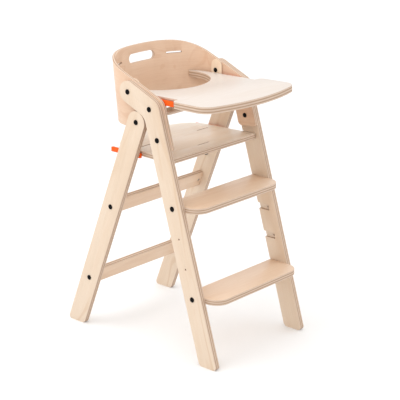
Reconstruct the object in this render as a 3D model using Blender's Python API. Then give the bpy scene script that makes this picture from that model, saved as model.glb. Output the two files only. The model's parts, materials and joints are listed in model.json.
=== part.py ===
"""A folding wooden baby high chair: plywood legs, steps, seat, bent backrest and sliding tray.

Metres. X runs across the chair and +X is the sitter's left, the chair faces -Y, and Z is up.
The origin is on the floor, in the middle of the four feet.
"""
import math

import bmesh
import bpy
from mathutils import Matrix, Vector

# ---- Driving dimensions -------------------------------------------------------------------
GAP = 0.0003                     # left between pieces that touch
PLY = 0.018                      # legs, steps and rails
TRAY_PLY = 0.021
SEAT_PLY = 0.016
SHELL_PLY = 0.0097
BOW_PLY = 0.0095
INNER = 0.202                    # half the width between the legs
OUTER = INNER + PLY

FRONT_SLOPE = 0.2934             # a front leg's dy/dz: it leans back 16.35 degrees
FRONT_EDGE_Y0 = -0.3301          # where its front edge meets the floor
FRONT_WIDTH_Y = 0.0704           # its width, measured level
ARM_ANGLE = math.radians(23.7)   # the arm rises from the elbow to its bolt
ARM_WIDTH = 0.068
REAR_LEAN = math.radians(21.8)
REAR_WIDTH = 0.0695

PIVOT = (-0.0027, 0.7316)        # y, z of the axis that the rear legs fold about
ARM_BOLT = (0.0309, 0.8218)
ELBOW_BOLT = (-0.0590, 0.7814)
LOBE_BOLT = (-0.0906, 0.6902)
STEP_BOTTOM_BOLT = (-0.2311, 0.2113)
STEP_PITCH = 0.09147             # height between the four step positions
STEP_POSITIONS = 4
RAIL_DISTANCES = {"upper": 0.3190, "lower": 0.6052}   # from the pivot, down the rear leg
PEG = (0.0805, 0.5280)           # y, z of the peg on a rear leg
PEG_RADIUS = 0.004

STEP_FRONT = 0.0902              # a step's front and rear edges, from its bolt
STEP_REAR = 0.0340
STEP_CORNER = 0.047
GROOVE_DEPTH = 0.0085
GROOVE_PLAY = 0.0005
GROOVE_AHEAD = 0.0098            # how far a groove runs in front of the bolt
TONGUE = INNER + GROOVE_DEPTH - 0.0005

RAIL_HEIGHT = 0.054
RAIL_RISE = 0.0015

SEAT_TOP = 0.634
SEAT_FRONT = -0.131
SEAT_GROOVE_FRONT = -0.1236
SEAT_SLIT = 0.005
SEAT_TONGUE_SETBACK = 0.0077     # from the front of its groove, to clear the rounded end

TRAY_TOP = 0.815
TRAY_FRONT = -0.317
TRAY_FRONT_RADIUS = 0.585
TRAY_FRONT_HALF = 0.159          # half the width of the bowed front, between its corners
TRAY_TILT = math.radians(1.05)   # the board rises to the front
TRAY_HALF = 0.180                # the narrow part, between the cheeks of the tray frame
WING_HALF = 0.2115
WING_REAR = -0.1415
HORN_END = 0.1229
HORN_BEND = 0.080                # where a horn starts to narrow to its tip
HORN_TIP = 0.1656
BELLY_CENTRE = 0.0995
BELLY_RADIUS = 0.160

BOW_BOTTOM = 0.761
BOW_FRONT = -0.096
BOW_REAR = -0.053
CHEEK_TOP = TRAY_TOP - TRAY_PLY - 0.0005
CHEEK_REAR = 0.005               # where a cheek ends and its ear starts
EAR_REAR = 0.049
EAR_PLY = 0.004                  # the strip is thinned over the tray, to clear it
EAR_STEP = 0.800                 # height where it gets thin
EAR_TOP = 0.859

SHELL_BASE = 0.71                # height of the level section that the shell's plan is drawn at
SHELL_BOTTOM = 0.708
SHELL_TILT = math.radians(6.12)
SHELL_HALF = INNER - GAP
SHELL_SIDE_END = 0.049           # where the flat sides end and the curve of the back starts
SHELL_BACK_DEPTH = 0.1284
SHELL_POWER = 2.15               # exponent of the superellipse of the back
SHELL_COLUMNS = 22               # flats in each half of the back
RIM_AT_ZERO = 0.8472
RIM_SLOPE = 0.40
RIM_CREST = 0.916
RIM_BLEND = 0.006
HAND_HOLE = (0.0585, 0.0148, 0.8745)      # half width, half height, height above the floor

LATCH_LENGTH = {"seat": 0.1265, "tray": 0.1325}
LATCH_HEIGHT = 0.0152
LATCH_PLY = 0.007
LATCH_SCREW = 0.008              # from the latch's inner end
LATCH_PEG = 0.038
LATCH_PEG_RADIUS = 0.0033
LATCH_PEG_HOLE = 0.0042          # radius of the blind hole that a peg locks in
SCREW_RISE = {"seat": 0.0095, "tray": 0.0075}     # of a latch's screw over its underside
LATCH_WEDGE = 0.156              # slope of the recess that a pressed latch moves into
SEAT_LATCH_X = 0.1935            # a latch's inner face
SEAT_LATCH_Y = 0.0               # a latch's inner end
SEAT_LATCH_Z = 0.6125            # a latch's underside
TRAY_LATCH_X = TRAY_HALF + 0.0005
TRAY_LATCH_Y = 0.004
TRAY_LATCH_Z = CHEEK_TOP + GAP

HEAD_RADIUS = 0.0082
HEAD_HEIGHT = 0.002
SHANK_RADIUS = 0.0029
SLEEVE_RADIUS = 0.0045
BARREL_RADIUS = 0.005
BARREL_LENGTH = 0.013
BARREL_BOLT_TIP = 0.176          # |x| of the end of a bolt that ends in a barrel nut
SOCKET_RADIUS = 0.0024
HOLE_SIDES = 12                  # flats of a bored hole and of a bar in it
ARC_STEP = math.radians(8)       # least turn between the points of an arc
ARC_SAG = 0.00008                # how far a chord may stand off its arc
SIDES = {"left": 1, "right": -1}

# ---- Materials ----------------------------------------------------------------------------
FINISHES = {
    "birch_ply": ((0.86, 0.72, 0.56), 0.55, 0.0),
    "birch_pale": ((0.89, 0.79, 0.68), 0.50, 0.0),
    "beech_shell": ((0.83, 0.62, 0.45), 0.55, 0.0),
    "tray_laminate": ((0.92, 0.87, 0.80), 0.35, 0.0),
    "orange_plastic": ((1.0, 0.16, 0.03), 0.35, 0.0),
    "black_steel": ((0.02, 0.02, 0.02), 0.40, 0.8),
    "zinc_steel": ((0.55, 0.55, 0.56), 0.35, 1.0),
    "black_plastic": ((0.03, 0.03, 0.03), 0.50, 0.0),
}


def finish(name):
    """The named Principled material, made on first use."""
    found = bpy.data.materials.get(name)
    if found:
        return found
    colour, roughness, metallic = FINISHES[name]
    made = bpy.data.materials.new(name)
    made.use_nodes = True
    shader = made.node_tree.nodes["Principled BSDF"]
    shader.inputs["Base Color"].default_value = (*colour, 1.0)
    shader.inputs["Roughness"].default_value = roughness
    shader.inputs["Metallic"].default_value = metallic
    made.diffuse_color = (*colour, 1.0)
    return made


# ---- Outlines -----------------------------------------------------------------------------
def rounded(corners):
    """Points of a polygon whose corners (u, v, radius) are rounded by arcs."""
    points = []
    count = len(corners)
    for index, (u, v, radius) in enumerate(corners):
        corner = Vector((u, v))
        if radius == 0:
            points.append((u, v))
            continue
        back = (Vector(corners[index - 1][:2]) - corner).normalized()
        ahead = (Vector(corners[(index + 1) % count][:2]) - corner).normalized()
        half = back.angle(ahead) / 2
        centre = corner + (back + ahead).normalized() * radius / math.sin(half)
        first = corner + back * radius / math.tan(half) - centre
        last = corner + ahead * radius / math.tan(half) - centre
        turn = first.angle_signed(last)
        stride = max(ARC_STEP, 2 * math.acos(max(0.0, 1 - ARC_SAG / radius)))
        steps = max(2, math.ceil(abs(turn) / stride))
        for step in range(steps + 1):
            spoke = first.copy()
            spoke.rotate(Matrix.Rotation(-turn * step / steps, 2))
            points.append(tuple(centre + spoke))
    return points


def box_outline(low_u, low_v, high_u, high_v, radius=0.0):
    """A rectangle, with round corners where a radius is given."""
    ring = [(low_u, low_v), (high_u, low_v), (high_u, high_v), (low_u, high_v)]
    return rounded([(u, v, radius) for u, v in ring])


def slot_outline(centre_u, centre_v, half_length, half_width):
    """A slot along u with fully round ends."""
    return box_outline(centre_u - half_length, centre_v - half_width,
                       centre_u + half_length, centre_v + half_width, half_width * 0.999)


def both_halves(half):
    """A closed outline from its +X half, listed from front to rear."""
    return half + [(-x, y) for x, y in reversed(half) if x > 1e-6]


def bezier(start, pull_a, pull_b, end, steps):
    """Points on a cubic curve, without its first."""
    ends = [Vector(p) for p in (start, pull_a, pull_b, end)]
    points = []
    for step in range(1, steps + 1):
        t = step / steps
        weights = ((1 - t) ** 3, 3 * t * (1 - t) ** 2, 3 * t * t * (1 - t), t ** 3)
        points.append(tuple(sum((p * w for p, w in zip(ends, weights)), Vector((0, 0)))))
    return points


# ---- Solids -------------------------------------------------------------------------------
PLANES = {
    "x": lambda u, v, w: Vector((w, u, v)),
    "y": lambda u, v, w: Vector((u, w, v)),
    "z": lambda u, v, w: Vector((u, v, w)),
}


def prism(mesh, outline, axis, end_a, end_b):
    """Add an outline extruded along an axis to a mesh, and return its vertices."""
    place = PLANES[axis]
    face = mesh.faces.new([mesh.verts.new(place(u, v, end_a)) for u, v in outline])
    start = list(face.verts)
    grown = bmesh.ops.extrude_face_region(mesh, geom=[face])["geom"]
    moved = [item for item in grown if isinstance(item, bmesh.types.BMVert)]
    bmesh.ops.translate(mesh, verts=moved, vec=place(0, 0, end_b - end_a))
    return start + moved


def rod(mesh, axis, centre, radius, end_a, end_b, segments=HOLE_SIDES):
    """Add a round bar along an axis; centre is given in the plane across it."""
    turns = [2 * math.pi * (index + 0.5) / segments for index in range(segments)]
    ring = [(centre[0] + radius * math.cos(a), centre[1] + radius * math.sin(a)) for a in turns]
    return prism(mesh, ring, axis, end_a, end_b)


def turned(mesh, profile, side, segments=12):
    """Spin a closed profile of (distance from the axis, x) points about the X axis."""
    ring = [mesh.verts.new((side * x, 0, radius)) for radius, x in profile]
    edges = [mesh.edges.new((ring[i], ring[i + 1])) for i in range(len(ring) - 1)]
    bmesh.ops.spin(mesh, geom=ring + edges, cent=(0, 0, 0), axis=(1, 0, 0),
                   angle=2 * math.pi, steps=segments, use_merge=True)
    bmesh.ops.remove_doubles(mesh, verts=mesh.verts, dist=1e-6)


def new_object(name, mesh):
    """An object of a bmesh, with its faces turned outwards."""
    bmesh.ops.recalc_face_normals(mesh, faces=mesh.faces)
    data = bpy.data.meshes.new(name)
    mesh.to_mesh(data)
    mesh.free()
    made = bpy.data.objects.new(name, data)
    bpy.context.scene.collection.objects.link(made)
    return made


def piece(name, mesh, finish_name, parent=None):
    """A named sub-part, parented without being moved."""
    made = new_object(name, mesh)
    made.data.materials.append(finish(finish_name))
    made.data.shade_smooth()
    made.data.set_sharp_from_angle(angle=math.radians(30))
    if parent:
        made.parent = parent
        made.matrix_parent_inverse = Matrix.Translation(-parent.location)
    return made


def carve(target, mesh, label, operation="DIFFERENCE"):
    """Cut a piece with, or trim it to, the closed bodies of a mesh."""
    cutter = new_object(target.name + "_" + label, mesh)
    cutter.hide_render = True
    cutter.display_type = "WIRE"
    boolean = target.modifiers.new(label, "BOOLEAN")
    boolean.operation = operation
    boolean.solver = "EXACT"
    boolean.object = cutter


def axis_empty(name, place):
    """An empty on a joint's axis."""
    made = bpy.data.objects.new(name, None)
    made.location = place
    bpy.context.scene.collection.objects.link(made)
    return made


# ---- Front legs ---------------------------------------------------------------------------
def front_edge(z):
    """y of a front leg's front edge."""
    return FRONT_EDGE_Y0 + z * FRONT_SLOPE


def arm_line(offset):
    """A point and direction of the arm's edge, offset from the line through its bolt."""
    along = Vector((math.cos(ARM_ANGLE), math.sin(ARM_ANGLE)))
    across = Vector((-along.y, along.x))
    return Vector(ARM_BOLT) + across * offset, along


def meet_leg_edge(y_at_floor, offset):
    """Where a leg edge meets an edge of the arm."""
    point, along = arm_line(offset)
    run = (y_at_floor + point.y * FRONT_SLOPE - point.x) / (along.x - along.y * FRONT_SLOPE)
    return point + along * run


def front_leg_outline():
    """Leg and arm in one piece, side view (y, z), from the foot's front corner."""
    half = ARM_WIDTH / 2
    under = meet_leg_edge(FRONT_EDGE_Y0 + FRONT_WIDTH_Y, -half)
    elbow = meet_leg_edge(FRONT_EDGE_Y0, half)
    low, along = arm_line(-half)
    high, _ = arm_line(half)
    tip = along * half
    return rounded([
        (FRONT_EDGE_Y0, 0.0, 0.011),
        (FRONT_EDGE_Y0 + FRONT_WIDTH_Y, 0.0, 0.015),
        (under.x, under.y, 0.038),
        (low.x + tip.x, low.y + tip.y, half * 0.999),
        (high.x + tip.x, high.y + tip.y, half * 0.999),
        (elbow.x, elbow.y, 0.040),
    ])


def step_bolt(position):
    """y, z of a step's bolt at one of the four heights, 0 the lowest."""
    y, z = STEP_BOTTOM_BOLT
    return y + position * STEP_PITCH * FRONT_SLOPE, z + position * STEP_PITCH


def groove_outline(y, z, half_height):
    """A step groove in side view, its front end slanted like the leg."""
    slant = half_height * FRONT_SLOPE
    front = y - GROOVE_AHEAD
    rear = y + FRONT_WIDTH_Y
    return rounded([
        (front - slant, z - half_height, 0.002),
        (rear, z - half_height, 0.0),
        (rear, z + half_height, 0.0),
        (front + slant, z + half_height, 0.002),
    ])


def front_leg(name, side):
    """One front leg, with four step grooves, the seat groove and its bolt holes."""
    mesh = bmesh.new()
    prism(mesh, front_leg_outline(), "x", side * INNER, side * OUTER)
    leg = piece("front_leg_" + name, mesh, "birch_ply")
    bottom = side * (INNER + GROOVE_DEPTH)
    grooves = bmesh.new()
    for position in range(STEP_POSITIONS):
        y, z = step_bolt(position)
        outline = groove_outline(y, z, PLY / 2 + GROOVE_PLAY)
        prism(grooves, outline, "x", side * (INNER - 0.005), bottom)
    low = SEAT_TOP - SEAT_PLY - GROOVE_PLAY
    high = SEAT_TOP + GROOVE_PLAY
    seat_groove = rounded([(SEAT_GROOVE_FRONT, low, 0.007), (0.0, low, 0.0),
                           (0.0, high, 0.0), (SEAT_GROOVE_FRONT, high, 0.007)])
    prism(grooves, seat_groove, "x", side * (INNER - 0.005), bottom)
    carve(leg, grooves, "grooves")
    holes = bmesh.new()
    for position in range(STEP_POSITIONS):
        rod(holes, "x", step_bolt(position), SHANK_RADIUS + GAP, side * 0.2, side * 0.23)
    for centre in (ARM_BOLT, ELBOW_BOLT, LOBE_BOLT):
        rod(holes, "x", centre, SHANK_RADIUS + GAP, side * 0.2, side * 0.23)
    carve(leg, holes, "bolt_holes")
    sleeves = bmesh.new()
    for centre in (ARM_BOLT, ELBOW_BOLT, LOBE_BOLT):
        rod(sleeves, "x", centre, SLEEVE_RADIUS + GAP, side * 0.2, side * 0.2105)
    carve(leg, sleeves, "sleeve_holes")


# ---- Rear frame ---------------------------------------------------------------------------
def down_rear_leg(distance, across=0.0):
    """y, z at a distance down the rear leg from the pivot, and across it to the rear."""
    y = PIVOT[0] + distance * math.sin(REAR_LEAN) + across * math.cos(REAR_LEAN)
    z = PIVOT[1] - distance * math.cos(REAR_LEAN) + across * math.sin(REAR_LEAN)
    return y, z


def rear_leg_outline():
    """A straight leg in side view, round at the pivot and cut level at the floor."""
    half = REAR_WIDTH / 2
    foot = PIVOT[0] + PIVOT[1] * math.tan(REAR_LEAN)
    level = half / math.cos(REAR_LEAN)
    return rounded([
        (*down_rear_leg(-half, -half), half * 0.999),
        (foot - level, 0.0, 0.014),
        (foot + level, 0.0, 0.010),
        (*down_rear_leg(-half, half), half * 0.999),
    ])


def rear_leg(name, side, parent):
    """One rear leg, with the holes for its pivot, rail bolts, peg and latch peg."""
    mesh = bmesh.new()
    prism(mesh, rear_leg_outline(), "x", side * INNER, side * OUTER)
    leg = piece("rear_leg_" + name, mesh, "birch_ply", parent)
    holes = bmesh.new()
    for centre in [down_rear_leg(distance) for distance in RAIL_DISTANCES.values()] + [PIVOT]:
        rod(holes, "x", centre, SHANK_RADIUS + GAP, side * 0.2, side * 0.23)
    rod(holes, "x", PEG, PEG_RADIUS + GAP, side * 0.2, side * 0.2105)
    latch_peg = (SEAT_LATCH_Y + LATCH_PEG, SEAT_LATCH_Z + LATCH_HEIGHT / 2)
    rod(holes, "x", latch_peg, LATCH_PEG_HOLE, side * 0.2, side * 0.208)
    carve(leg, holes, "bolt_holes")
    sleeve = bmesh.new()
    rod(sleeve, "x", PIVOT, SLEEVE_RADIUS + GAP, side * 0.2, side * 0.2105)
    carve(leg, sleeve, "sleeve_hole")


def rear_rail(level, parent):
    """A rail between the rear legs, set in their plane, bored for its bolts and barrel nuts."""
    distance = RAIL_DISTANCES[level]
    half_tall = RAIL_HEIGHT / 2
    half_thick = PLY / 2
    ring = [(half_tall - RAIL_RISE, -half_thick), (half_tall - RAIL_RISE, half_thick),
            (-half_tall - RAIL_RISE, half_thick), (-half_tall - RAIL_RISE, -half_thick)]
    outline = rounded([(*down_rear_leg(distance + down, across), 0.002) for down, across in ring])
    mesh = bmesh.new()
    prism(mesh, outline, "x", GAP - INNER, INNER - GAP)
    rail = piece(level + "_rear_rail", mesh, "birch_pale", parent)
    bores = bmesh.new()
    for side in SIDES.values():
        rod(bores, "x", down_rear_leg(distance), SHANK_RADIUS + GAP, side * 0.172, side * 0.21)
    carve(rail, bores, "bolt_bores")
    pockets = bmesh.new()
    for side in SIDES.values():
        barrel = barrel_body(pockets, BARREL_RADIUS + GAP, -0.012, 0.007)
        turn_to_rail(pockets, barrel, side, distance)
    carve(rail, pockets, "barrel_pockets")


def barrel_body(mesh, radius, end_a, end_b):
    """A barrel nut's round bar along Y, about the origin."""
    return rod(mesh, "y", (0.0, 0.0), radius, end_a, end_b)


def turn_to_rail(mesh, verts, side, distance):
    """Move a bar along Y into a rail, 13 mm from its end, square to its face."""
    y, z = down_rear_leg(distance)
    turn = Matrix.Rotation(REAR_LEAN, 4, "X")
    shift = Matrix.Translation((side * (INNER - 0.013), y, z))
    bmesh.ops.transform(mesh, verts=verts, matrix=shift @ turn)


# ---- Steps, seat and tray -----------------------------------------------------------------
def step_outline(y):
    """A step seen from above: round front corners, and a tongue in each leg's groove."""
    front = y - STEP_FRONT
    rear = y + STEP_REAR
    tongue = y - GROOVE_AHEAD + 0.0035
    body = INNER - GAP
    half = rounded([
        (0.0, front, 0.0), (body, front, STEP_CORNER), (body, tongue, 0.0),
        (TONGUE, tongue, 0.001), (TONGUE, rear, 0.003), (0.0, rear, 0.0),
    ])
    return both_halves(half)


def step(level, position):
    """A step board, bored for its two bolts and barrel nuts."""
    y, z = step_bolt(position)
    mesh = bmesh.new()
    prism(mesh, step_outline(y), "z", z - PLY / 2, z + PLY / 2)
    board = piece(level + "_step", mesh, "birch_pale")
    bores = bmesh.new()
    for side in SIDES.values():
        rod(bores, "x", (y, z), SHANK_RADIUS + GAP, side * 0.172, side * 0.215)
    carve(board, bores, "bolt_bores")
    pockets = bmesh.new()
    for side in SIDES.values():
        centre = (side * (INNER - 0.015), y)
        rod(pockets, "z", centre, BARREL_RADIUS + GAP, z - PLY / 2 - 0.005, z + 0.007)
    carve(board, pockets, "barrel_pockets")


def seat_outline():
    """The seat seen from above: tongues in the legs, and a rounded rear edge."""
    body = INNER - GAP
    tongue = SEAT_GROOVE_FRONT + SEAT_TONGUE_SETBACK
    start = (0.1875, 0.066)
    half = rounded([
        (0.0, SEAT_FRONT, 0.0), (body, SEAT_FRONT, 0.0085), (body, tongue, 0.0),
        (TONGUE, tongue, 0.001), (TONGUE, -0.0795, 0.003), (0.197, -0.0765, 0.0),
        (*start, 0.0),
    ])
    rear = bezier(start, (0.1855, 0.140), (0.116, 0.162), (0.0, 0.162), 12)
    return both_halves(half + rear)


def seat_board():
    """The seat, with two side slits, a front slit and a recess under each side for a latch."""
    mesh = bmesh.new()
    prism(mesh, seat_outline(), "z", SEAT_TOP - SEAT_PLY, SEAT_TOP)
    seat = piece("seat_board", mesh, "birch_pale")
    slits = bmesh.new()
    slit_centres = [(side * 0.1305, 0.037, 0.0265) for side in SIDES.values()]
    for x, y, half_length in slit_centres + [(0.0, -0.0825, 0.0275)]:
        prism(slits, slot_outline(x, y, half_length, SEAT_SLIT / 2), "z", 0.6, 0.65)
    carve(seat, slits, "strap_slits")
    recesses = bmesh.new()
    screws = bmesh.new()
    ceiling = SEAT_LATCH_Z + LATCH_HEIGHT + GAP
    near = SEAT_LATCH_Y - 0.003
    for side in SIDES.values():
        inner = SEAT_LATCH_X - 0.001
        ring = [(inner, near), (0.215, near), (0.215, near + 0.14),
                (inner - 0.14 * LATCH_WEDGE, near + 0.14)]
        prism(recesses, [(side * x, y) for x, y in ring], "z", 0.6, ceiling)
        screw = (SEAT_LATCH_Y + LATCH_SCREW, SEAT_LATCH_Z + SCREW_RISE["seat"])
        rod(screws, "x", screw, 0.0022, side * 0.172, side * 0.2, 12)
    carve(seat, recesses, "latch_recesses")
    carve(seat, screws, "screw_holes")


def tray_outline():
    """The tray seen from above: bowed front, wings, narrow sides, horns and belly cut-out."""
    depth = TRAY_FRONT_HALF ** 2 / (2 * TRAY_FRONT_RADIUS)
    bow_points = []
    for index in range(9):
        x = TRAY_FRONT_HALF * index / 8
        sag = TRAY_FRONT_RADIUS - math.sqrt(TRAY_FRONT_RADIUS ** 2 - x * x)
        bow_points.append((x, TRAY_FRONT + sag, 0.0))
    corner_x = WING_HALF + 0.0006
    slope = 1.1 * TRAY_FRONT_HALF / TRAY_FRONT_RADIUS
    corner_y = TRAY_FRONT + depth + (corner_x - TRAY_FRONT_HALF) * slope
    inner_angle = math.asin((HORN_END - BELLY_CENTRE) / BELLY_RADIUS)
    inner_x = BELLY_RADIUS * math.cos(inner_angle)
    side_part = rounded(bow_points + [
        (corner_x, corner_y, 0.048),
        (WING_HALF - 0.003, WING_REAR, 0.016),
        (TRAY_HALF, WING_REAR, 0.002),
        (TRAY_HALF, HORN_BEND, 0.040),
        (HORN_TIP, HORN_END, 0.005),
        (inner_x, HORN_END, 0.0024),
        (inner_x + 0.0005, BELLY_CENTRE, 0.0),
    ])[:-1]
    belly = []
    for index in range(1, 25):
        angle = -math.pi / 2 * index / 24
        belly.append((BELLY_RADIUS * math.cos(angle), BELLY_CENTRE + BELLY_RADIUS * math.sin(angle)))
    return both_halves(side_part + belly)


def tray_board(parent):
    """The tray, tilted up to the front, with a recess under each side for a latch."""
    mesh = bmesh.new()
    prism(mesh, tray_outline(), "z", TRAY_TOP - TRAY_PLY, TRAY_TOP)
    rest = Matrix.Translation((0, CHEEK_REAR, TRAY_TOP - TRAY_PLY))
    tilt = rest @ Matrix.Rotation(-TRAY_TILT, 4, "X") @ rest.inverted()
    bmesh.ops.transform(mesh, verts=mesh.verts, matrix=tilt)
    tray = piece("tray_board", mesh, "tray_laminate", parent)
    recesses = bmesh.new()
    screws = bmesh.new()
    ceiling = TRAY_LATCH_Z + LATCH_HEIGHT + GAP
    near = TRAY_LATCH_Y - 0.002
    for side in SIDES.values():
        inner = TRAY_HALF - 0.0003
        ring = [(inner, near), (0.19, near), (0.19, near - 0.138),
                (inner - 0.138 * LATCH_WEDGE, near - 0.138)]
        prism(recesses, [(side * x, y) for x, y in ring], "z", 0.79, ceiling)
        screw = (TRAY_LATCH_Y - LATCH_SCREW, TRAY_LATCH_Z + SCREW_RISE["tray"])
        rod(screws, "x", screw, 0.0022, side * 0.16, side * 0.19, 12)
    carve(tray, recesses, "latch_recesses")
    carve(tray, screws, "screw_holes")


# ---- Tray frame ---------------------------------------------------------------------------
def tray_frame():
    """One bent strip: a bridge between the legs, turned up into cheeks and ears."""
    out = SHELL_HALF - SHELL_PLY - GAP
    within = out - BOW_PLY
    top = EAR_TOP + 0.01
    floor = BOW_BOTTOM + BOW_PLY
    bend = 0.012
    mesh = bmesh.new()
    section = rounded([
        (-out, top, 0.0), (-out, BOW_BOTTOM, bend + BOW_PLY), (out, BOW_BOTTOM, bend + BOW_PLY),
        (out, top, 0.0), (within, top, 0.0), (within, floor, bend), (-within, floor, bend),
        (-within, top, 0.0),
    ])
    prism(mesh, section, "y", BOW_FRONT - 0.01, 0.06)
    bow = piece("tray_frame", mesh, "birch_pale")
    side_view = bmesh.new()
    profile = rounded([
        (BOW_FRONT, BOW_BOTTOM - 0.01, 0.0), (BOW_REAR, BOW_BOTTOM - 0.01, 0.0),
        (BOW_REAR, 0.7825, 0.0), (-0.004, 0.7825, 0.012), (0.030, 0.7960, 0.02),
        (EAR_REAR, 0.8100, 0.010), (EAR_REAR, EAR_TOP, 0.0217), (CHEEK_REAR, EAR_TOP, 0.0217),
        (CHEEK_REAR, CHEEK_TOP, 0.003), (BOW_FRONT, CHEEK_TOP, 0.004),
    ])
    prism(side_view, profile, "x", -0.2, 0.2)
    carve(bow, side_view, "side_view", "INTERSECT")
    over_tray = bmesh.new()
    prism(over_tray, box_outline(-0.01, EAR_STEP, 0.06, top), "x", EAR_PLY - out, out - EAR_PLY)
    carve(bow, over_tray, "over_tray")
    holes = bmesh.new()
    for side in SIDES.values():
        for centre in (ARM_BOLT, ELBOW_BOLT):
            rod(holes, "x", centre, SLEEVE_RADIUS + GAP, side * 0.175, side * 0.198)
    carve(bow, holes, "sleeve_holes")
    spot_faces = bmesh.new()
    for side in SIDES.values():
        rod(spot_faces, "x", ELBOW_BOLT, HEAD_RADIUS, side * 0.165, side * within)
    carve(bow, spot_faces, "spot_faces")


# ---- Backrest shell -----------------------------------------------------------------------
def rim_height(y):
    """The shell's rim: it climbs from the elbow and levels off at the back."""
    line = RIM_AT_ZERO + RIM_SLOPE * y
    return line - RIM_BLEND * math.log(1 + math.exp((line - RIM_CREST) / RIM_BLEND))


def shell_plan(angle):
    """x, y of the outer face of the back at SHELL_BASE; 0 is the +X side, 90 degrees the middle."""
    x = SHELL_HALF * max(math.cos(angle), 0.0) ** (2 / SHELL_POWER)
    y = SHELL_SIDE_END + SHELL_BACK_DEPTH * math.sin(angle) ** (2 / SHELL_POWER)
    return Vector((x, y))


def shell_normal(angle):
    """The level direction that points out of the back."""
    small = 1e-4
    along = shell_plan(min(angle + small, math.pi / 2)) - shell_plan(max(angle - small, 0.0))
    return Vector((along.y, -along.x)).normalized()


def shell_vertex(point, normal, height, depth):
    """A point of the shell: the plan is carried up a ruling that leans back."""
    y_shift = (height - SHELL_BASE) * math.tan(SHELL_TILT)
    level = point - normal * depth
    return Vector((level.x, level.y + y_shift, height))


def rim_on_ruling(y_base):
    """The height where the ruling from y_base meets the rim."""
    height = RIM_CREST
    for _ in range(30):
        height = rim_height(y_base + (height - SHELL_BASE) * math.tan(SHELL_TILT))
    return height


def shell_columns():
    """Plan point, normal and rim height of each ruling, from the +X side to the -X side."""
    half = []
    for index in range(SHELL_COLUMNS + 1):
        angle = math.pi / 2 * (index / SHELL_COLUMNS) ** 1.15
        point = shell_plan(angle)
        normal = shell_normal(angle)
        if index == 0:
            normal = Vector((1.0, 0.0))
        if index == SHELL_COLUMNS:
            normal = Vector((0.0, 1.0))
        half.append((point, normal, rim_on_ruling(point.y)))
    flip = Vector((-1.0, 1.0))
    return half + [(point * flip, normal * flip, rim) for point, normal, rim in reversed(half[:-1])]


def shell_side_outline():
    """A flat side in side view: lobe, front edge and rim, from the bottom of the first ruling."""
    lean = math.tan(SHELL_TILT)
    low_end = (SHELL_SIDE_END + (SHELL_BOTTOM - SHELL_BASE) * lean, SHELL_BOTTOM)
    rim = rim_on_ruling(SHELL_SIDE_END)
    high_end = (SHELL_SIDE_END + (rim - SHELL_BASE) * lean, rim)
    return rounded([
        (*low_end, 0.0),
        (-0.0505, SHELL_BOTTOM, 0.006),
        (-0.0655, 0.6530, 0.016),
        (-0.1390, 0.6600, 0.008),
        (-0.0966, 0.80706, 0.036),
        (0.0, RIM_AT_ZERO, 0.0),
        (*high_end, 0.0),
    ])


def backrest_shell():
    """The bent backrest: two flat sides joined by a leaning curved back, with its openings."""
    mesh = bmesh.new()
    columns = shell_columns()
    low = []
    high = []
    for point, normal, rim in columns:
        low.append(mesh.verts.new(shell_vertex(point, normal, SHELL_BOTTOM, 0.0)))
        high.append(mesh.verts.new(shell_vertex(point, normal, rim, 0.0)))
    for index in range(len(columns) - 1):
        mesh.faces.new((low[index], low[index + 1], high[index + 1], high[index]))
    for first, last, side in ((low[0], high[0], 1), (low[-1], high[-1], -1)):
        inside = [mesh.verts.new((side * SHELL_HALF, y, z)) for y, z in shell_side_outline()[1:-1]]
        mesh.faces.new([first] + inside + [last])
    grown = bmesh.ops.extrude_face_region(mesh, geom=mesh.faces[:])["geom"]
    moved = [item for item in grown if isinstance(item, bmesh.types.BMVert)]
    offsets = column_offsets(columns)
    for vert in moved:
        vert.co += nearest_offset(offsets, vert.co)
    shell = piece("backrest_shell", mesh, "beech_shell")
    carve(shell, shell_openings(), "openings")


def column_offsets(columns):
    """Each ruling's foot at SHELL_BASE with the step from the outer to the inner face."""
    return [(point, Vector((-normal.x, -normal.y, 0.0)) * SHELL_PLY) for point, normal, _ in columns]


def nearest_offset(offsets, place):
    """The step to the inner face at a point of the outer face."""
    foot = Vector((place.x, place.y - (place.z - SHELL_BASE) * math.tan(SHELL_TILT)))
    if foot.y < SHELL_SIDE_END:
        return Vector((-math.copysign(SHELL_PLY, foot.x), 0.0, 0.0))
    return min(offsets, key=lambda item: (item[0] - foot).length)[1]


def shell_openings():
    """Cutters: hand hole, two strap slits, bolt holes and the blind holes of the tray's pegs."""
    mesh = bmesh.new()
    half_width, half_height, height = HAND_HOLE
    prism(mesh, slot_outline(0.0, height, half_width, half_height), "y", 0.13, 0.25)
    for side in SIDES.values():
        slit = prism(mesh, slot_outline(0.0, 0.0, 0.0275, 0.003), "y", -0.02, 0.02)
        turn = Matrix.Rotation(-side * math.radians(26.6), 4, "Z")
        shift = Matrix.Translation((side * 0.1285, 0.1625, 0.8730))
        bmesh.ops.transform(mesh, verts=slit, matrix=shift @ turn)
        for centre in (PIVOT, ARM_BOLT, ELBOW_BOLT, LOBE_BOLT):
            rod(mesh, "x", centre, SLEEVE_RADIUS + GAP, side * 0.185, side * 0.205)
        peg = (TRAY_LATCH_Y - LATCH_PEG, TRAY_LATCH_Z + LATCH_HEIGHT / 2)
        rod(mesh, "x", peg, LATCH_PEG_HOLE, side * 0.185, side * 0.198)
    return mesh


# ---- Fasteners ----------------------------------------------------------------------------
def head_profile(radius, height, start):
    """A low round head with a softened edge, from its underside at x = start."""
    return [(radius, start), (radius, start + height * 0.6),
            (radius - 0.0015, start + height), (0.0, start + height)]


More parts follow.
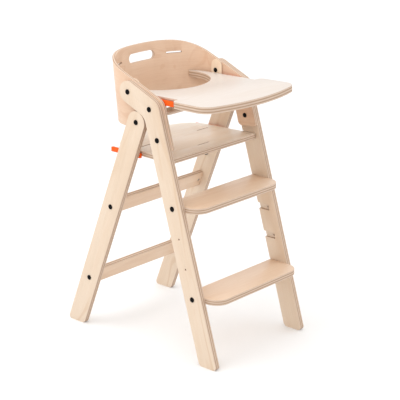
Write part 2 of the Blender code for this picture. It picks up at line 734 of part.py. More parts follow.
def bolt(name, side, centre, tip, parent=None):
    """A hexagon-socket bolt through a leg from outside; tip is |x| of its end."""
    start = OUTER + GAP
    profile = [(0.0, tip), (SHANK_RADIUS, tip), (SHANK_RADIUS, start)]
    profile += head_profile(HEAD_RADIUS, HEAD_HEIGHT, start)
    mesh = bmesh.new()
    turned(mesh, profile, side)
    bmesh.ops.translate(mesh, verts=mesh.verts, vec=(0, *centre))
    made = piece(name, mesh, "black_steel", parent)
    socket = bmesh.new()
    face = start + HEAD_HEIGHT
    rod(socket, "x", centre, SOCKET_RADIUS, side * (face - 0.0013), side * (face + 0.002), 6)
    carve(made, socket, "socket")


def sleeve_nut(name, side, centre, face, height):
    """A nut with a flat head on the inside, its sleeve reaching into the leg."""
    end = 0.2095
    bore = SHANK_RADIUS + GAP
    profile = [(bore, end), (SLEEVE_RADIUS, end), (SLEEVE_RADIUS, face), (HEAD_RADIUS - 0.0005, face),
               (HEAD_RADIUS - 0.0005, face - height * 0.6), (HEAD_RADIUS - 0.0012, face - height),
               (0.0, face - height), (0.0, face), (bore, face), (bore, end)]
    mesh = bmesh.new()
    turned(mesh, profile, side)
    bmesh.ops.translate(mesh, verts=mesh.verts, vec=(0, *centre))
    piece(name, mesh, "black_steel")


def barrel_nut(name, side, place, parent=None):
    """A cross-bored barrel nut; place moves it from the origin into its board."""
    mesh = bmesh.new()
    half = BARREL_LENGTH / 2
    place(mesh, barrel_body(mesh, BARREL_RADIUS, -half, half))
    nut = piece(name, mesh, "zinc_steel", parent)
    bore = bmesh.new()
    place(bore, rod(bore, "x", (0.0, 0.0), SHANK_RADIUS + GAP, -side * 0.01, side * 0.01, 12))
    carve(nut, bore, "bore")


def frame_fasteners(name, side):
    """The bolts, sleeve nuts and barrel nuts that hold one side of the front frame."""
    shell_face = SHELL_HALF - SHELL_PLY - GAP
    ear_face = shell_face - EAR_PLY - GAP
    cheek_face = shell_face - BOW_PLY - GAP
    for part, centre, face in (("arm", ARM_BOLT, ear_face), ("elbow", ELBOW_BOLT, cheek_face),
                               ("lobe", LOBE_BOLT, shell_face), ("pivot", PIVOT, shell_face)):
        bolt(part + "_bolt_" + name, side, centre, face + 0.003)
        sleeve_nut(part + "_nut_" + name, side, centre, face, 0.0015)
    for level, position in (("upper", STEP_POSITIONS - 1), ("lower", 0)):
        y, z = step_bolt(position)
        bolt(level + "_step_bolt_" + name, side, (y, z), BARREL_BOLT_TIP)

        def place(mesh, verts, y=y, z=z):
            turn = Matrix.Rotation(math.pi / 2, 4, "X")
            shift = Matrix.Translation((side * (INNER - 0.015), y, z))
            bmesh.ops.transform(mesh, verts=verts, matrix=shift @ turn)

        barrel_nut(level + "_step_barrel_nut_" + name, side, place)


def rear_fasteners(name, side, parent):
    """The rail bolts, barrel nuts and peg of one rear leg."""
    for level, distance in RAIL_DISTANCES.items():
        bolt(level + "_rail_bolt_" + name, side, down_rear_leg(distance), BARREL_BOLT_TIP, parent)

        def place(mesh, verts, distance=distance):
            turn_to_rail(mesh, verts, side, distance)

        barrel_nut(level + "_rail_barrel_nut_" + name, side, place, parent)
    mesh = bmesh.new()
    turned(mesh, [(0.0, 0.2100), (PEG_RADIUS, 0.2100), (PEG_RADIUS, 0.1935),
                  (PEG_RADIUS - 0.0008, 0.1925), (0.0, 0.1925)], side)
    bmesh.ops.translate(mesh, verts=mesh.verts, vec=(0, *PEG))
    piece("rear_leg_peg_" + name, mesh, "black_plastic", parent)


# ---- Latches ------------------------------------------------------------------------------
def latch(kind, name, side, inner_face, inner_end, bottom, reach, peg_end, parent_latch, parent_board):
    """A sprung orange bar with its screw and locking peg.

    reach is +1 where the bar runs to the rear of its screw and -1 where it runs to the front;
    peg_end is |x| of the peg's tip.
    """
    outer_face = inner_face + LATCH_PLY
    far_end = inner_end + reach * LATCH_LENGTH[kind]
    ends = sorted((inner_end, far_end))
    outline = box_outline(ends[0], bottom, ends[1], bottom + LATCH_HEIGHT, 0.002)
    screw = (inner_end + reach * LATCH_SCREW, bottom + SCREW_RISE[kind])
    peg = (inner_end + reach * LATCH_PEG, bottom + LATCH_HEIGHT / 2)
    mesh = bmesh.new()
    prism(mesh, outline, "x", side * inner_face, side * outer_face)
    bar = piece(kind + "_latch_" + name, mesh, "orange_plastic", parent_latch)
    holes = bmesh.new()
    rod(holes, "x", screw, 0.003, side * (inner_face - 0.002), side * (outer_face + 0.002))
    rod(holes, "x", peg, LATCH_PEG_RADIUS + GAP, side * (outer_face - 0.0045), side * (outer_face + 0.002))
    carve(bar, holes, "holes")
    sink = bmesh.new()
    rod(sink, "x", screw, 0.0048, side * (outer_face - 0.0023), side * (outer_face + 0.002))
    carve(bar, sink, "screw_sink")

    mesh = bmesh.new()
    under = outer_face - 0.0015
    tip = inner_face - 0.018
    turned(mesh, [(0.0, tip), (0.0018, tip), (0.0018, under), (0.0038, under),
                  (0.0038, outer_face - 0.0003), (0.0033, outer_face), (0.0, outer_face)], side)
    bmesh.ops.translate(mesh, verts=mesh.verts, vec=(0, *screw))
    piece(kind + "_latch_screw_" + name, mesh, "black_steel", parent_board)

    mesh = bmesh.new()
    start = outer_face - 0.0042
    turned(mesh, [(0.0, start), (LATCH_PEG_RADIUS, start), (LATCH_PEG_RADIUS, peg_end - 0.0003),
                  (LATCH_PEG_RADIUS - 0.0005, peg_end), (0.0, peg_end)], side)
    bmesh.ops.translate(mesh, verts=mesh.verts, vec=(0, *peg))
    piece(kind + "_latch_peg_" + name, mesh, "black_plastic", parent_latch)


def latches(name, side, tray_parent):
    """One side's seat latch, which locks the rear leg, and tray latch, which locks the tray."""
    middle = LATCH_PLY / 2
    seat_place = (side * (SEAT_LATCH_X + middle), SEAT_LATCH_Y + LATCH_SCREW, SEAT_LATCH_Z)
    seat_axis = axis_empty("seat_latch_axis_" + name, seat_place)
    latch("seat", name, side, SEAT_LATCH_X, SEAT_LATCH_Y, SEAT_LATCH_Z, 1, 0.2016, seat_axis, None)
    tray_place = (side * (TRAY_LATCH_X + middle), TRAY_LATCH_Y - LATCH_SCREW, TRAY_LATCH_Z)
    tray_axis = axis_empty("tray_latch_axis_" + name, tray_place)
    latch("tray", name, side, TRAY_LATCH_X, TRAY_LATCH_Y, TRAY_LATCH_Z, -1, 0.1916, tray_axis,
          tray_parent)


# ---- Assembly -----------------------------------------------------------------------------
def clear_scene():
    """Remove every object of the open scene."""
    for old in list(bpy.data.objects):
        bpy.data.objects.remove(old, do_unlink=True)


def build():
    """The whole chair."""
    clear_scene()
    fold_axis = axis_empty("fold_axis", (0.0, *PIVOT))
    tray_axis = axis_empty("tray_slide_axis", (0.0, 0.0, TRAY_TOP - TRAY_PLY))
    backrest_shell()
    tray_frame()
    seat_board()
    tray_board(tray_axis)
    step("upper", STEP_POSITIONS - 1)
    step("lower", 0)
    for level in RAIL_DISTANCES:
        rear_rail(level, fold_axis)
    for name, side in SIDES.items():
        front_leg(name, side)
        rear_leg(name, side, fold_axis)
        frame_fasteners(name, side)
        rear_fasteners(name, side, fold_axis)
        latches(name, side, tray_axis)


build()
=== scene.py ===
"""The finished look of the folding plywood high chair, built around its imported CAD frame."""
import json
import math

import bmesh
import bpy
import numpy as np
from mathutils import Matrix, Vector

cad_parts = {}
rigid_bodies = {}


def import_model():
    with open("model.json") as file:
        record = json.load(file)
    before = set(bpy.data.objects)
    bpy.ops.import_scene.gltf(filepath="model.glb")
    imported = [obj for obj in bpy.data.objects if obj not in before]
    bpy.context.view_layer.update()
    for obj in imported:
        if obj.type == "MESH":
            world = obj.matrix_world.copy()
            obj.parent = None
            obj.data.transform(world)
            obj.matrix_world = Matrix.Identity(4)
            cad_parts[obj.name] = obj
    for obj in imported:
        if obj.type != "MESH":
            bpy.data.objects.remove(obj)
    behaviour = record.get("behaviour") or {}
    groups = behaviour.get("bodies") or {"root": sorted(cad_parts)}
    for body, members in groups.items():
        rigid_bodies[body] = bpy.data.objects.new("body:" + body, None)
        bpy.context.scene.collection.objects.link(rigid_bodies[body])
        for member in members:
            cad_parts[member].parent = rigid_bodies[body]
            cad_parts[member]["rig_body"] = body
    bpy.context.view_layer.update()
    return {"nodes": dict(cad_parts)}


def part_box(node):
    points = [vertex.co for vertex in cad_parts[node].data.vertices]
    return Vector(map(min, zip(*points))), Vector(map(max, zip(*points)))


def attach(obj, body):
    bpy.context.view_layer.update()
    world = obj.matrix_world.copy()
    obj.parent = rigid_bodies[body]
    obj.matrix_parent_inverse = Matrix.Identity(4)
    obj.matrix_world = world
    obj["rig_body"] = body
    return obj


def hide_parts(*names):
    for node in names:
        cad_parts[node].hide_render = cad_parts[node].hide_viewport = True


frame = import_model()
NODES = frame["nodes"]

# ---- Sizes, in metres ---------------------------------------------------------------------
PLY = 0.018
TRAY_PLY = 0.021
SEAT_PLY = 0.016
SHELL_PLY = 0.0097
BOW_PLY = 0.0095
FRONT_LEAN = math.radians(16.35)
REAR_LEAN = math.radians(21.8)
TRAY_TILT = math.radians(1.05)
SHELL_TILT = math.radians(6.12)
SHELL_SIDE_END = 0.049           # y where the shell's flat sides end
SHELL_BACK_DEPTH = 0.1284        # how far the curve of the back runs to the rear of them
SHELL_POWER = 2.15               # exponent of the superellipse of the back
SHELL_RADIUS = 0.165             # its mean radius
BEND_RADIUS = 0.17               # turns an angle round the shell into a length along the grain
BEND_CENTRE_Y = -0.03            # y that the angle is taken about
CHEEK_INNER = 0.178              # |x| past which the tray frame's strip is a cheek or an ear
CHEEK_FOOT = 0.775               # height that it is one above
HEAD_RADIUS = 0.0082
HEAD_HEIGHT = 0.002
HEAD_EASE = 0.0011               # the round of its shoulder
CROWN_RISE = 0.0002              # of its middle over its shoulder
SHANK_RADIUS = 0.0029
SHANK_CHAMFER = 0.0004
SOCKET_RADIUS = 0.0026
SOCKET_LENGTH = 0.0026           # of the hexagon that is sunk into a head
SOCKET_SINK = 0.0002             # from the head's face down to that hexagon's middle
PIN_EASE = 0.0008
BOARD_EASE = 0.0012              # radii that edges are rounded by
STEP_EASE = 0.0015
TRAY_EASE = 0.0018
SHELL_EASE = 0.0013
LATCH_EASE = 0.0011
BARREL_EASE = 0.0005
NUT_EASE = 0.0004
SCREW_EASE = 0.0003
SPIN_STEPS = 40                  # flats of a turned piece
SMOOTH_ANGLE = math.radians(32)  # faces that meet at less are shaded as one
SIDES = {"left": 1, "right": -1}

# ---- Camera and light ---------------------------------------------------------------------
CAMERA_PLACE = (-3.1463, -2.8743, 1.8062)
CAMERA_TURN = (72.096, 0.095, -48.297)    # degrees about x, y and z
LENS = 124.9                     # millimetres, on a sensor 36 mm wide
FLOOR_HALF = 30.0
HORIZON_LIGHT = 1.0
ZENITH_LIGHT = 1.45
KEY_PLACE = (-1.6, 0.9, 3.2)
KEY_TARGET = (0.0, 0.0, 0.5)
KEY_SIZE = 2.4
KEY_POWER = 30.0


# ---- Node helpers -------------------------------------------------------------------------
def srgb(red, green, blue):
    """A linear colour from sRGB values of 0 to 255."""
    channels = []
    for value in (red, green, blue):
        part = value / 255
        channels.append(part / 12.92 if part <= 0.04045 else ((part + 0.055) / 1.055) ** 2.4)
    return (*channels, 1.0)


class Nodes:
    """A material's node tree, with short ways to add and join nodes."""

    def __init__(self, name):
        self.material = bpy.data.materials.new(name)
        self.material.use_nodes = True
        self.tree = self.material.node_tree
        self.shader = self.tree.nodes["Principled BSDF"]

    def add(self, kind, **settings):
        node = self.tree.nodes.new("ShaderNode" + kind)
        for key, value in settings.items():
            setattr(node, key, value)
        return node

    def join(self, out, into):
        self.tree.links.new(out, into)

    def coordinates(self, scale):
        """A piece's own coordinates (along the grain, across it, through the layers), scaled."""
        source = self.add("Attribute", attribute_name="grain")
        mapping = self.add("Mapping")
        mapping.inputs["Scale"].default_value = scale
        self.join(source.outputs["Vector"], mapping.inputs["Vector"])
        return mapping.outputs["Vector"]

    def noise(self, vector, scale=1.0, detail=3.0, roughness=0.5, distortion=0.0):
        node = self.add("TexNoise")
        node.inputs["Scale"].default_value = scale
        node.inputs["Detail"].default_value = detail
        node.inputs["Roughness"].default_value = roughness
        node.inputs["Distortion"].default_value = distortion
        self.join(vector, node.inputs["Vector"])
        return node.outputs["Fac"]

    def spread(self, value, low, high, to_low=0.0, to_high=1.0):
        """Maps low..high to to_low..to_high, smoothly and clamped."""
        node = self.add("MapRange", interpolation_type="SMOOTHSTEP")
        node.inputs["From Min"].default_value = low
        node.inputs["From Max"].default_value = high
        node.inputs["To Min"].default_value = to_low
        node.inputs["To Max"].default_value = to_high
        self.join(value, node.inputs["Value"])
        return node.outputs["Result"]

    def math(self, operation, first, second=None):
        node = self.add("Math", operation=operation)
        for index, value in enumerate((first, second)):
            if value is None:
                continue
            if isinstance(value, (int, float)):
                node.inputs[index].default_value = value
            else:
                self.join(value, node.inputs[index])
        return node.outputs["Value"]

    def mix(self, factor, first, second, blend="MIX"):
        """A colour mix; each input is a colour or a socket."""
        node = self.add("Mix", data_type="RGBA", blend_type=blend)
        for key, value in (("Factor", factor), ("A", first), ("B", second)):
            socket = next(s for s in node.inputs if s.name == key and s.enabled)
            if isinstance(value, bpy.types.NodeSocket):
                self.join(value, socket)
            else:
                socket.default_value = value
        return next(s for s in node.outputs if s.enabled)

    def finish(self, colour, roughness, height=None, depth=0.0, specular=None):
        """Join the colour, roughness and a bump height to the shader."""
        self.join(colour, self.shader.inputs["Base Color"])
        self.join(roughness, self.shader.inputs["Roughness"])
        if specular is not None:
            self.shader.inputs["Specular IOR Level"].default_value = specular
        if height is not None:
            bump = self.add("Bump")
            bump.inputs["Distance"].default_value = depth
            self.join(height, bump.inputs["Height"])
            self.join(bump.outputs["Normal"], self.shader.inputs["Normal"])
        return self.material


# ---- Wood ---------------------------------------------------------------------------------
def veneer(name, pale, dark, figure=1.0, gloss=0.48):
    """A lacquered rotary-cut birch face: broad cathedral figure, fine streaks and short flecks."""
    tree = Nodes(name)
    broad = tree.noise(tree.coordinates((1.6, 9.0, 1.0)), 1.0, 2.0, 0.45, 0.6)
    rings = tree.math("MULTIPLY", broad, 26.0)
    wave = tree.math("SINE", rings)
    lines = tree.spread(wave, 0.55, 1.0)
    patches = tree.spread(tree.noise(tree.coordinates((2.3, 7.0, 1.0)), 1.3, 2.0, 0.5), 0.35, 0.65)
    cathedral = tree.math("MULTIPLY", lines, patches)
    fibres = tree.noise(tree.coordinates((14.0, 520.0, 1.0)), 1.0, 3.0, 0.6)
    streaks = tree.spread(fibres, 0.3, 0.7)
    tone = tree.spread(tree.noise(tree.coordinates((2.0, 14.0, 1.0)), 1.0, 3.0, 0.5), 0.25, 0.75)
    pores = tree.noise(tree.coordinates((90.0, 1500.0, 1.0)), 1.0, 1.0, 0.5)
    flecks = tree.spread(pores, 0.66, 0.78)
    base = tree.mix(tree.math("MULTIPLY", tone, 0.45), pale, dark)
    base = tree.mix(tree.math("MULTIPLY", streaks, 0.30), base, dark)
    base = tree.mix(tree.math("MULTIPLY", cathedral, 0.65 * figure), base, dark)
    deeper = [channel * 0.72 for channel in dark[:3]] + [1.0]
    base = tree.mix(tree.math("MULTIPLY", flecks, 0.30), base, deeper)
    roughness = tree.spread(streaks, 0.0, 1.0, gloss - 0.05, gloss + 0.07)
    height = tree.math("ADD", tree.math("MULTIPLY", streaks, 0.5), flecks)
    return tree.finish(base, roughness, height, 0.00006)


def ply_edge(name, light, dark, layers):
    """Cut plywood: layers of end grain and long grain in turn, with saw-smooth speckle."""
    tree = Nodes(name)
    source = tree.add("Attribute", attribute_name="grain")
    split = tree.add("SeparateXYZ")
    tree.join(source.outputs["Vector"], split.inputs["Vector"])
    wander = tree.noise(tree.coordinates((12.0, 12.0, 0.0)), 1.0, 2.0, 0.5)
    shifted = tree.math("ADD", split.outputs["Z"], tree.math("MULTIPLY", wander, 0.03))
    wave = tree.math("SINE", tree.math("MULTIPLY", shifted, math.pi * layers))
    band = tree.spread(wave, -0.35, 0.35)
    fibre_ends = tree.noise(tree.coordinates((900.0, 900.0, 40.0)), 1.0, 2.0, 0.6)
    speckle = tree.spread(fibre_ends, 0.3, 0.7)
    blotch = tree.spread(tree.noise(tree.coordinates((30.0, 30.0, 6.0)), 1.0, 2.0, 0.5), 0.3, 0.7)
    colour = tree.mix(band, dark, light)
    deeper = [channel * 0.75 for channel in dark[:3]] + [1.0]
    colour = tree.mix(tree.math("MULTIPLY", speckle, 0.22), colour, deeper)
    colour = tree.mix(tree.math("MULTIPLY", blotch, 0.18), colour, deeper)
    roughness = tree.spread(band, 0.0, 1.0, 0.68, 0.55)
    height = tree.math("SUBTRACT", band, tree.math("MULTIPLY", speckle, 0.4))
    return tree.finish(colour, roughness, height, 0.00008)


def tray_face(name):
    """The tray's smooth pale face: birch seen faintly through a hard satin varnish."""
    tree = Nodes(name)
    pale = srgb(208, 197, 188)
    dark = srgb(199, 183, 168)
    broad = tree.noise(tree.coordinates((1.4, 8.0, 1.0)), 1.0, 2.0, 0.45, 0.5)
    rings = tree.math("MULTIPLY", broad, 22.0)
    lines = tree.spread(tree.math("SINE", rings), 0.5, 1.0)
    streaks = tree.spread(tree.noise(tree.coordinates((10.0, 400.0, 1.0)), 1.0, 3.0, 0.6), 0.3, 0.7)
    colour = tree.mix(tree.math("MULTIPLY", streaks, 0.25), pale, dark)
    colour = tree.mix(tree.math("MULTIPLY", lines, 0.22), colour, dark)
    roughness = tree.spread(streaks, 0.0, 1.0, 0.30, 0.38)
    return tree.finish(colour, roughness, streaks, 0.00003)


# ---- Plastic and steel --------------------------------------------------------------------
def object_coordinates(tree, scale):
    """Object-space coordinates, scaled alike in all directions."""
    source = tree.add("TexCoord")
    mapping = tree.add("Mapping")
    mapping.inputs["Scale"].default_value = (scale, scale, scale)
    tree.join(source.outputs["Object"], mapping.inputs["Vector"])
    return mapping.outputs["Vector"]


def moulded(name, colour, shade, roughness, texture_depth, specular):
    """Moulded plastic: a fine matt texture and faint flow marks."""
    tree = Nodes(name)
    flow = tree.spread(tree.noise(object_coordinates(tree, 60.0), 1.0, 2.0, 0.5), 0.3, 0.7)
    grain = tree.noise(object_coordinates(tree, 2600.0), 1.0, 2.0, 0.6)
    mixed = tree.mix(tree.math("MULTIPLY", flow, 0.5), colour, shade)
    rough = tree.spread(grain, 0.2, 0.8, roughness - 0.05, roughness + 0.08)
    return tree.finish(mixed, rough, grain, texture_depth, specular)


def metal(name, colour, shade, roughness, metallic):
    """Turned steel: fine wear marks in its finish."""
    tree = Nodes(name)
    wear = tree.spread(tree.noise(object_coordinates(tree, 900.0), 1.0, 4.0, 0.65), 0.35, 0.75)
    mixed = tree.mix(wear, colour, shade)
    rough = tree.spread(wear, 0.0, 1.0, roughness, roughness + 0.15)
    tree.shader.inputs["Metallic"].default_value = metallic
    return tree.finish(mixed, rough, wear, 0.00002)


BIRCH = veneer("birch_face", srgb(224, 206, 186), srgb(206, 177, 147), 1.0, 0.42)
BIRCH_BOARD = veneer("birch_board_face", srgb(227, 202, 178), srgb(208, 172, 140), 0.7, 0.34)
SHELL_FACE = veneer("shell_face", srgb(226, 197, 171), srgb(206, 164, 132), 0.6, 0.40)
SEAT_FACE = veneer("seat_face", srgb(236, 225, 211), srgb(220, 198, 172), 0.7, 0.34)
SUPPORT_FACE = veneer("tray_support_face", srgb(240, 220, 195), srgb(222, 190, 158), 0.7, 0.38)
TRAY_FACE = tray_face("tray_face")
EDGE = ply_edge("plywood_edge", srgb(214, 192, 172), srgb(174, 143, 118), 5)
THIN_EDGE = ply_edge("thin_plywood_edge", srgb(218, 194, 172), srgb(180, 146, 120), 3)
ORANGE = moulded("orange_plastic", srgb(246, 98, 28), srgb(232, 80, 18), 0.45, 0.00003, 0.15)
BLACK_PLASTIC = moulded("black_plastic", srgb(18, 18, 18), srgb(28, 28, 28), 0.5, 0.00003, 0.2)
BLACK_STEEL = metal("black_steel", srgb(16, 16, 17), srgb(30, 30, 32), 0.36, 0.95)
ZINC_STEEL = metal("zinc_steel", srgb(190, 190, 192), srgb(150, 152, 156), 0.28, 1.0)


# ---- Refined pieces -----------------------------------------------------------------------
def refined_mesh(node, radius, segments, only=None):
    """A node's mesh welded, its flat faces merged and its edges rounded.

    only, where it is given, says of a sharp edge whether it is to be rounded.
    """
    mesh = bmesh.new()
    mesh.from_mesh(NODES[node].data)
    bmesh.ops.remove_doubles(mesh, verts=mesh.verts, dist=1e-5)
    bmesh.ops.dissolve_limit(mesh, angle_limit=math.radians(0.5), verts=mesh.verts[:],
                             edges=mesh.edges[:])
    sharp = [edge for edge in mesh.edges
             if edge.is_manifold and edge.calc_face_angle() > math.radians(35)
             and (only is None or only(edge))]
    bmesh.ops.bevel(mesh, geom=sharp, offset=radius, offset_type="OFFSET", segments=segments,
                    profile=0.5, affect="EDGES", clamp_overlap=True)
    return mesh


def add_piece(name, node, mesh, materials):
    """An object of a mesh that stands for a CAD node and rides on its body."""
    data = bpy.data.meshes.new(name)
    mesh.to_mesh(data)
    mesh.free()
    for material in materials:
        data.materials.append(material)
    data.shade_smooth()
    data.set_sharp_from_angle(angle=SMOOTH_ANGLE)
    made = bpy.data.objects.new(name, data)
    bpy.context.scene.collection.objects.link(made)
    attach(made, NODES[node]["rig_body"])
    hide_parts(node)
    return made


def tag_grain(data, place, seed):
    """Store each point's place along the grain, across it and through the layers."""
    layer = data.attributes.new("grain", "FLOAT_VECTOR", "POINT")
    for vert, item in zip(data.vertices, layer.data):
        along, across, depth = place(vert.co)
        item.vector = (along + seed * 1.7, across + seed * 0.9, depth)


def board(node, name, faces, edges, frame_axes, thickness, radius, seed):
    """A refined plywood board.

    frame_axes are the unit vectors along the grain, across it and through the board.
    """
    along, across, through = frame_axes
    mesh = refined_mesh(node, radius, 3)
    low = min(vert.co.dot(through) for vert in mesh.verts)
    for face in mesh.faces:
        face.material_index = 0 if abs(face.normal.dot(through)) > 0.80 else 1
    made = add_piece(name, node, mesh, [faces, edges])

    def place(point):
        return point.dot(along), point.dot(across), (point.dot(through) - low) / thickness

    tag_grain(made.data, place, seed)
    return made


X_AXIS = Vector((1, 0, 0))
Y_AXIS = Vector((0, 1, 0))
Z_AXIS = Vector((0, 0, 1))


def leg_axes(lean):
    """Grain axes of a leg whose foot is lean radians from upright, towards -Y if positive."""
    along = Vector((0, math.sin(lean), math.cos(lean)))
    return along, X_AXIS.cross(along), X_AXIS


def boards():
    """The legs, steps, seat, rails and tray."""
    for index, side in enumerate(SIDES):
        board("front_leg_" + side, "front_leg_board_" + side, BIRCH, EDGE, leg_axes(FRONT_LEAN),
              PLY, BOARD_EASE, 1.0 + index)
        board("rear_leg_" + side, "rear_leg_board_" + side, BIRCH, EDGE, leg_axes(-REAR_LEAN),
              PLY, BOARD_EASE, 3.0 + index)
    flat = (X_AXIS, Y_AXIS, Z_AXIS)
    board("upper_step", "upper_step_board", BIRCH_BOARD, EDGE, flat, PLY, STEP_EASE, 5.0)
    board("lower_step", "lower_step_board", BIRCH_BOARD, EDGE, flat, PLY, STEP_EASE, 6.0)
    board("seat_board", "seat_board_piece", SEAT_FACE, EDGE, flat, SEAT_PLY, STEP_EASE, 7.0)
    up = Vector((0, math.sin(TRAY_TILT), math.cos(TRAY_TILT)))
    tray_axes = (X_AXIS, up.cross(X_AXIS), up)
    board("tray_board", "tray_board_piece", TRAY_FACE, EDGE, tray_axes, TRAY_PLY, TRAY_EASE, 8.0)
    through = Vector((0, math.cos(REAR_LEAN), math.sin(REAR_LEAN)))
    rail_axes = (X_AXIS, through.cross(X_AXIS), through)
    board("upper_rear_rail", "upper_rail_board", BIRCH_BOARD, EDGE, rail_axes, PLY,
          BOARD_EASE, 9.0)
    board("lower_rear_rail", "lower_rail_board", BIRCH_BOARD, EDGE, rail_axes, PLY,
          BOARD_EASE, 10.0)


# ---- Bent pieces --------------------------------------------------------------------------
def is_outline(edge):
    """Whether an edge of the shell is more than a joint between two flats of its curved back."""
    start, end = (vert.co for vert in edge.verts)
    ruling = Vector((0, math.sin(SHELL_TILT), math.cos(SHELL_TILT)))
    runs_up = abs((end - start).normalized().dot(ruling)) > 0.98
    return not runs_up or min(start.y, end.y) < SHELL_SIDE_END


def is_shell_face(face, low, high):
    """Whether a face is part of the shell's inner or outer surface, whose box is low to high."""
    centre = face.calc_center_median()
    foot_y = centre.y - (centre.z - low.z) * math.tan(SHELL_TILT)
    if foot_y < SHELL_SIDE_END:
        return abs(face.normal.x) > 0.85
    across = (abs(centre.x) / high.x) ** (SHELL_POWER - 1) / high.x
    deep = ((foot_y - SHELL_SIDE_END) / SHELL_BACK_DEPTH) ** (SHELL_POWER - 1) / SHELL_BACK_DEPTH
    outward = Vector((math.copysign(across, centre.x), deep, 0)).normalized()
    return abs(face.normal.dot(outward)) > 0.8


def backrest():
    """The bent backrest, its grain running round it."""
    node = "backrest_shell"
    mesh = refined_mesh(node, SHELL_EASE, 3, is_outline)
    low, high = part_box(node)
    for face in mesh.faces:
        face.material_index = 0 if is_shell_face(face, low, high) else 1
    made = add_piece("backrest_shell_piece", node, mesh, [SHELL_FACE, THIN_EDGE])
    half_width = high.x

    def place(point):
        foot_y = point.y - (point.z - low.z) * math.tan(SHELL_TILT)
        angle = math.atan2(point.x, foot_y - BEND_CENTRE_Y)
        return angle * BEND_RADIUS, point.z, shell_depth(point, foot_y, half_width)

    tag_grain(made.data, place, 11.0)


def shell_depth(point, foot_y, half_width):
    """How far a point is from the outer face, as a share of the shell's thickness."""
    if foot_y <= SHELL_SIDE_END:
        return (half_width - abs(point.x)) / SHELL_PLY
    across = abs(point.x) / half_width
    deep = (foot_y - SHELL_SIDE_END) / SHELL_BACK_DEPTH
    level = (across ** SHELL_POWER + deep ** SHELL_POWER) ** (1 / SHELL_POWER)
    return (1 - level) * SHELL_RADIUS / SHELL_PLY


def tray_support():
    """The bent strip under the tray, its grain running along the strip."""
    node = "tray_frame"
    mesh = refined_mesh(node, BOARD_EASE, 3)
    for face in mesh.faces:
        face.material_index = 1 if abs(face.normal.y) > 0.55 or is_cheek_end(face) else 0
    made = add_piece("tray_frame_piece", node, mesh, [SUPPORT_FACE, THIN_EDGE])
    low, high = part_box(node)

    def place(point):
        from_side = high.x - abs(point.x)
        from_floor = point.z - low.z
        depth = min(from_side, from_floor) / BOW_PLY
        return point.x if from_floor < from_side else point.z, point.y, depth

    tag_grain(made.data, place, 12.0)


def is_cheek_end(face):
    """Whether a face is the cut top of a cheek or ear."""
    centre = face.calc_center_median()
    return abs(face.normal.x) < 0.5 and abs(centre.x) > CHEEK_INNER and centre.z > CHEEK_FOOT


# ---- Latches and pegs ---------------------------------------------------------------------
def latches():
    """The orange bars with rounded edges, and their pegs."""
    for kind in ("seat", "tray"):
        for side in SIDES:
            node = kind + "_latch_" + side
            add_piece(node + "_bar", node, refined_mesh(node, LATCH_EASE, 3), [ORANGE])
            peg = kind + "_latch_peg_" + side
            add_piece(peg + "_piece", peg, turned_like(peg, pin_profile), [BLACK_PLASTIC])
    for side in SIDES:
        peg = "rear_leg_peg_" + side
        add_piece(peg + "_piece", peg, turned_like(peg, pin_profile), [BLACK_PLASTIC])


def pin_profile(start, end, radius):
    """A round pin whose inner end is softened."""
    step = math.copysign(1, end - start)
    arc = [(radius - PIN_EASE + PIN_EASE * math.cos(a),
            end - step * PIN_EASE + step * PIN_EASE * math.sin(a))
           for a in np.linspace(0, math.pi / 2, 5)]
    return [(0.0, start), (radius, start)] + arc + [(0.0, end)]


# ---- Turned pieces ------------------------------------------------------------------------
def turned(profile, centre):
    """A mesh spun about the X direction through centre, from (radius, x) points."""
    mesh = bmesh.new()
    ring = [mesh.verts.new((x, centre.y, centre.z + radius)) for radius, x in profile]
    edges = [mesh.edges.new((ring[i], ring[i + 1])) for i in range(len(ring) - 1)]
    bmesh.ops.spin(mesh, geom=ring + edges, cent=centre, axis=(1, 0, 0),
                   angle=2 * math.pi, steps=SPIN_STEPS, use_merge=True)
    bmesh.ops.remove_doubles(mesh, verts=mesh.verts, dist=1e-6)
    bmesh.ops.recalc_face_normals(mesh, faces=mesh.faces)
    return mesh


def node_span(node):
    """A round node's centre, radius, and x from its end nearest the middle of the chair."""
    low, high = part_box(node)
    centre = (low + high) / 2
    near, far = sorted((low.x, high.x), key=abs)
    return centre, (high.z - low.z) / 2, near, far


def turned_like(node, profile):
    """A node turned afresh, from a profile made for its span and radius."""
    centre, radius, near, far = node_span(node)
    points = profile(far, near, radius) if "rear_leg_peg" in node else profile(near, far, radius)
    return turned(points, centre)


def bolt_profile(near, far, radius):
    """A socket bolt: shank from near, then a low domed head that ends at far."""
    step = math.copysign(1, far - near)
    under = far - step * HEAD_HEIGHT
    arc = [(radius - HEAD_EASE + HEAD_EASE * math.cos(a),
            far - step * (HEAD_EASE + CROWN_RISE) + step * HEAD_EASE * math.sin(a))
           for a in np.linspace(0, math.pi / 2, 6)]
    crown = [(radius * 0.6, far - step * CROWN_RISE / 4), (0.0, far)]
    return ([(0.0, near), (SHANK_RADIUS - SHANK_CHAMFER, near),
             (SHANK_RADIUS, near + step * SHANK_CHAMFER),
             (SHANK_RADIUS, under), (radius, under)] + arc + crown)


def hex_socket(made, centre, face, step):
    """Sink a hexagon socket into a bolt's head."""
    mesh = bmesh.new()
    turn = Matrix.Rotation(math.pi / 2, 4, "Y")
    shift = Matrix.Translation((face - step * SOCKET_SINK, centre.y, centre.z))
    bmesh.ops.create_cone(mesh, cap_ends=True, segments=6, radius1=SOCKET_RADIUS,
                          radius2=SOCKET_RADIUS, depth=SOCKET_LENGTH, matrix=shift @ turn)
    cut(made, mesh)


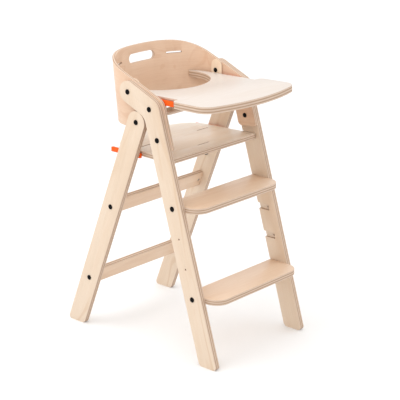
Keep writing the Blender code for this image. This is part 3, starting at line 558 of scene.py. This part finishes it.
def cut(made, mesh):
    """Take a closed mesh out of an object, for good."""
    data = bpy.data.meshes.new("cutter")
    mesh.to_mesh(data)
    mesh.free()
    cutter = bpy.data.objects.new("cutter", data)
    bpy.context.scene.collection.objects.link(cutter)
    boolean = made.modifiers.new("cut", "BOOLEAN")
    boolean.object = cutter
    bpy.context.view_layer.update()
    evaluated = made.evaluated_get(bpy.context.evaluated_depsgraph_get())
    result = bpy.data.meshes.new_from_object(evaluated)
    made.modifiers.clear()
    made.data = result
    result.set_sharp_from_angle(angle=SMOOTH_ANGLE)
    bpy.data.objects.remove(cutter, do_unlink=True)


def fasteners():
    """Bolts turned afresh, each with a socket sunk in its head; barrel nuts, sleeve nuts and latch
    screws kept to their CAD shapes, with their edges rounded.
    """
    for node in sorted(NODES):
        if "_bolt_" in node:
            centre, radius, near, far = node_span(node)
            mesh = turned(bolt_profile(near, far, HEAD_RADIUS), centre)
            made = add_piece(node + "_piece", node, mesh, [BLACK_STEEL])
            hex_socket(made, centre, far, math.copysign(1, far))
        elif "barrel_nut" in node:
            add_piece(node + "_piece", node, refined_mesh(node, BARREL_EASE, 2), [ZINC_STEEL])
        elif "_nut_" in node:
            add_piece(node + "_piece", node, refined_mesh(node, NUT_EASE, 2), [BLACK_STEEL])
        elif "latch_screw" in node:
            add_piece(node + "_piece", node, refined_mesh(node, SCREW_EASE, 2), [BLACK_STEEL])


# ---- Camera, floor and light --------------------------------------------------------------
def camera():
    """A long lens, from the chair's right front, a little above it."""
    data = bpy.data.cameras.new("camera")
    data.sensor_width = 36.0
    data.lens = LENS
    data.clip_end = 50.0
    made = bpy.data.objects.new("camera", data)
    made.location = CAMERA_PLACE
    made.rotation_euler = [math.radians(angle) for angle in CAMERA_TURN]
    bpy.context.scene.collection.objects.link(made)
    bpy.context.scene.camera = made


def floor():
    """A plain pale floor that reaches to the horizon."""
    mesh = bmesh.new()
    bmesh.ops.create_grid(mesh, x_segments=1, y_segments=1, size=FLOOR_HALF)
    data = bpy.data.meshes.new("floor")
    mesh.to_mesh(data)
    mesh.free()
    tree = Nodes("floor_paint")
    mottle = tree.noise(object_coordinates(tree, 3.0), 1.0, 2.0, 0.5)
    colour = tree.mix(mottle, srgb(235, 235, 235), srgb(238, 238, 238))
    rough = tree.spread(mottle, 0.0, 1.0, 0.75, 0.85)
    data.materials.append(tree.finish(colour, rough, specular=0.2))
    made = bpy.data.objects.new("floor", data)
    bpy.context.scene.collection.objects.link(made)


def area_light(name, place, target, size, power):
    """A soft square light aimed at a point."""
    data = bpy.data.lights.new(name, "AREA")
    data.shape = "SQUARE"
    data.size = size
    data.energy = power
    made = bpy.data.objects.new(name, data)
    made.location = place
    made.rotation_euler = (Vector(target) - Vector(place)).to_track_quat("-Z", "Y").to_euler()
    bpy.context.scene.collection.objects.link(made)


def lights():
    """A bright even room and a large soft key from above the sitter's right."""
    world = bpy.data.worlds.new("studio")
    world.use_nodes = True
    tree = world.node_tree
    background = tree.nodes["Background"]
    direction = tree.nodes.new("ShaderNodeTexCoord")
    split = tree.nodes.new("ShaderNodeSeparateXYZ")
    tree.links.new(direction.outputs["Generated"], split.inputs["Vector"])
    climb = tree.nodes.new("ShaderNodeMapRange")
    climb.inputs["From Min"].default_value = 0.0
    climb.inputs["From Max"].default_value = 1.0
    climb.inputs["To Min"].default_value = HORIZON_LIGHT
    climb.inputs["To Max"].default_value = ZENITH_LIGHT
    tree.links.new(split.outputs["Z"], climb.inputs["Value"])
    tree.links.new(climb.outputs["Result"], background.inputs["Strength"])
    background.inputs["Color"].default_value = (1.0, 1.0, 1.0, 1.0)
    bpy.context.scene.world = world
    area_light("key", KEY_PLACE, KEY_TARGET, KEY_SIZE, KEY_POWER)
    bpy.context.scene.view_settings.view_transform = "Standard"


camera()
floor()
lights()
boards()
backrest()
tray_support()
latches()
fasteners()
